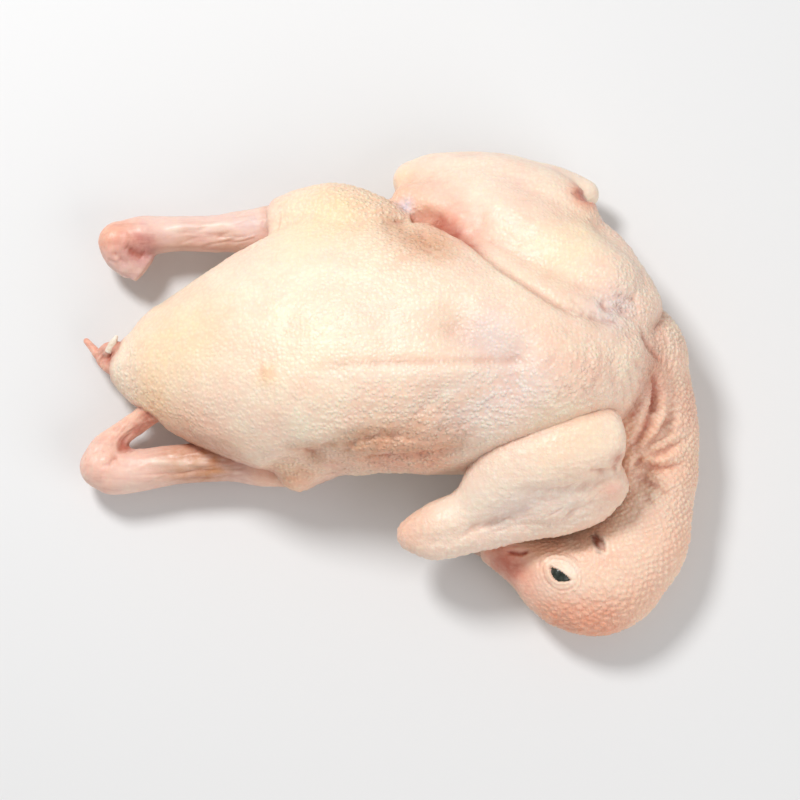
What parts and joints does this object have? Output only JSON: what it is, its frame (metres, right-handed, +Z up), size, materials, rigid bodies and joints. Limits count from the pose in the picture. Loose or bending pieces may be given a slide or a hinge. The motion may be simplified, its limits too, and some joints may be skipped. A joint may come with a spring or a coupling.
{
  "type": "whole raw pigeon",
  "caption": "Plucked raw pigeon lying on its back, breast up, legs back, wings folded without hands, and neck and head curled round beside one wing.",
  "frame": {"origin": "centre of the bounding box of the bird, on the flat underside that it lies on", "axes": "+X from the tail stump to the front of the breast, +Y towards the bird's right wing, +Z up out of the breast"},
  "size_m": [0.1858, 0.146, 0.0622],
  "materials": {
    "raw_skin": "moist raw poultry skin, cream to pink, with plucked follicle bumps"
  },
  "bodies": {
    "root": {"pigeon": "raw_skin"}
  },
  "joints": []
}
